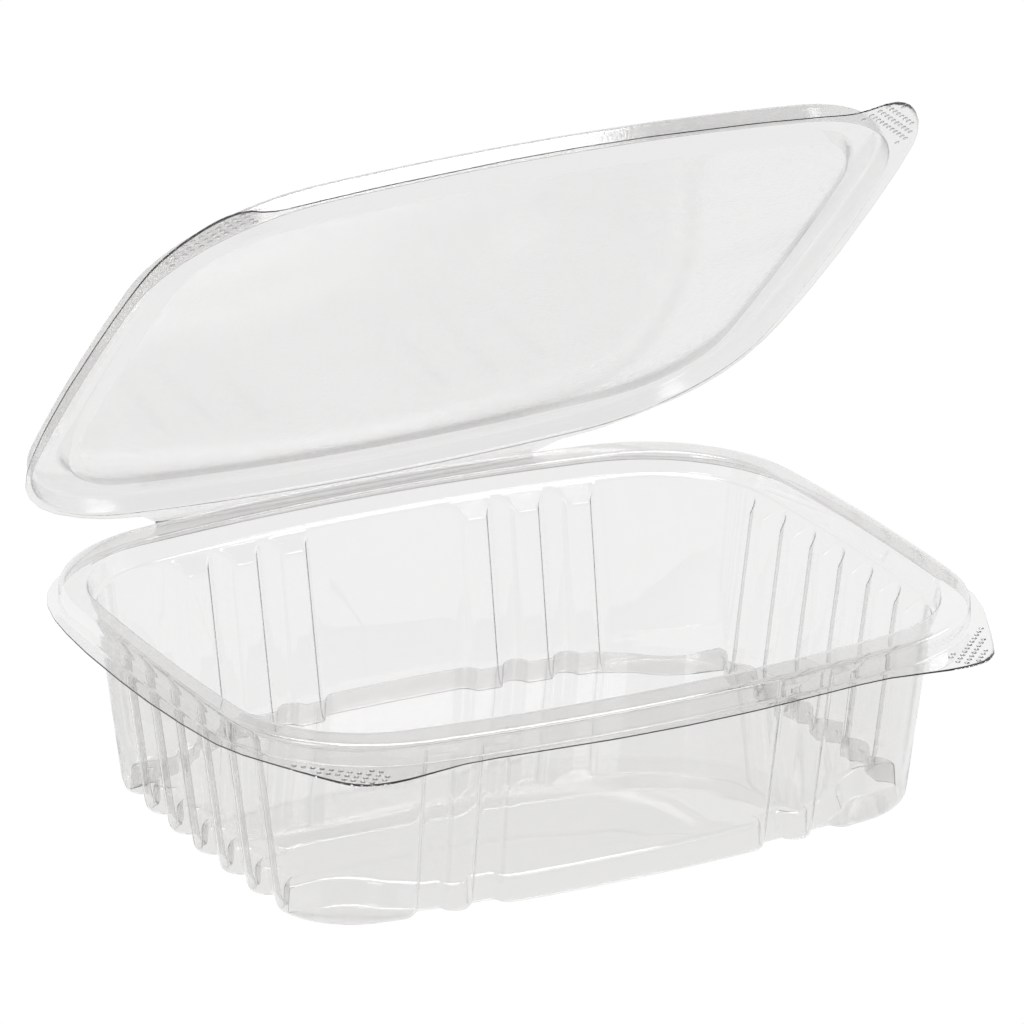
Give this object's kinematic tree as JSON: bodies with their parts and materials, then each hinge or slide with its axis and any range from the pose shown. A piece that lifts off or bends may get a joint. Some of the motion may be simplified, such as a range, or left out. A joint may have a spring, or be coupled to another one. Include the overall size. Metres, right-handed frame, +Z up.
{
  "type": "takeaway meal container",
  "caption": "Clear thin-walled rectangular food box with ribbed sides, a raised floor, corner tabs and a flat lid on a living hinge, shown half open and empty.",
  "frame": {"origin": "middle of the box around the part, in the plane of the table that the feet stand on", "axes": "+X along the long front side to the right, +Y from the front to the hinge, +Z up"},
  "size_m": [0.1838, 0.1544, 0.1534],
  "materials": {
    "clear_sheet_tray": "clear, glossy, thermoformed sheet",
    "clear_sheet_lid": "clear, glossy, thermoformed sheet"
  },
  "bodies": {
    "tray": {"tray": "clear_sheet_tray"},
    "lid": {"lid": "clear_sheet_lid"}
  },
  "joints": [
    {"name": "lid_hinge", "type": "hinge", "parent": "tray", "child": "lid", "pos_m": [0, 0.07684, 0.04185], "axis": [-1, 0, 0], "range_deg": [-45.6, 134.4]}
  ]
}
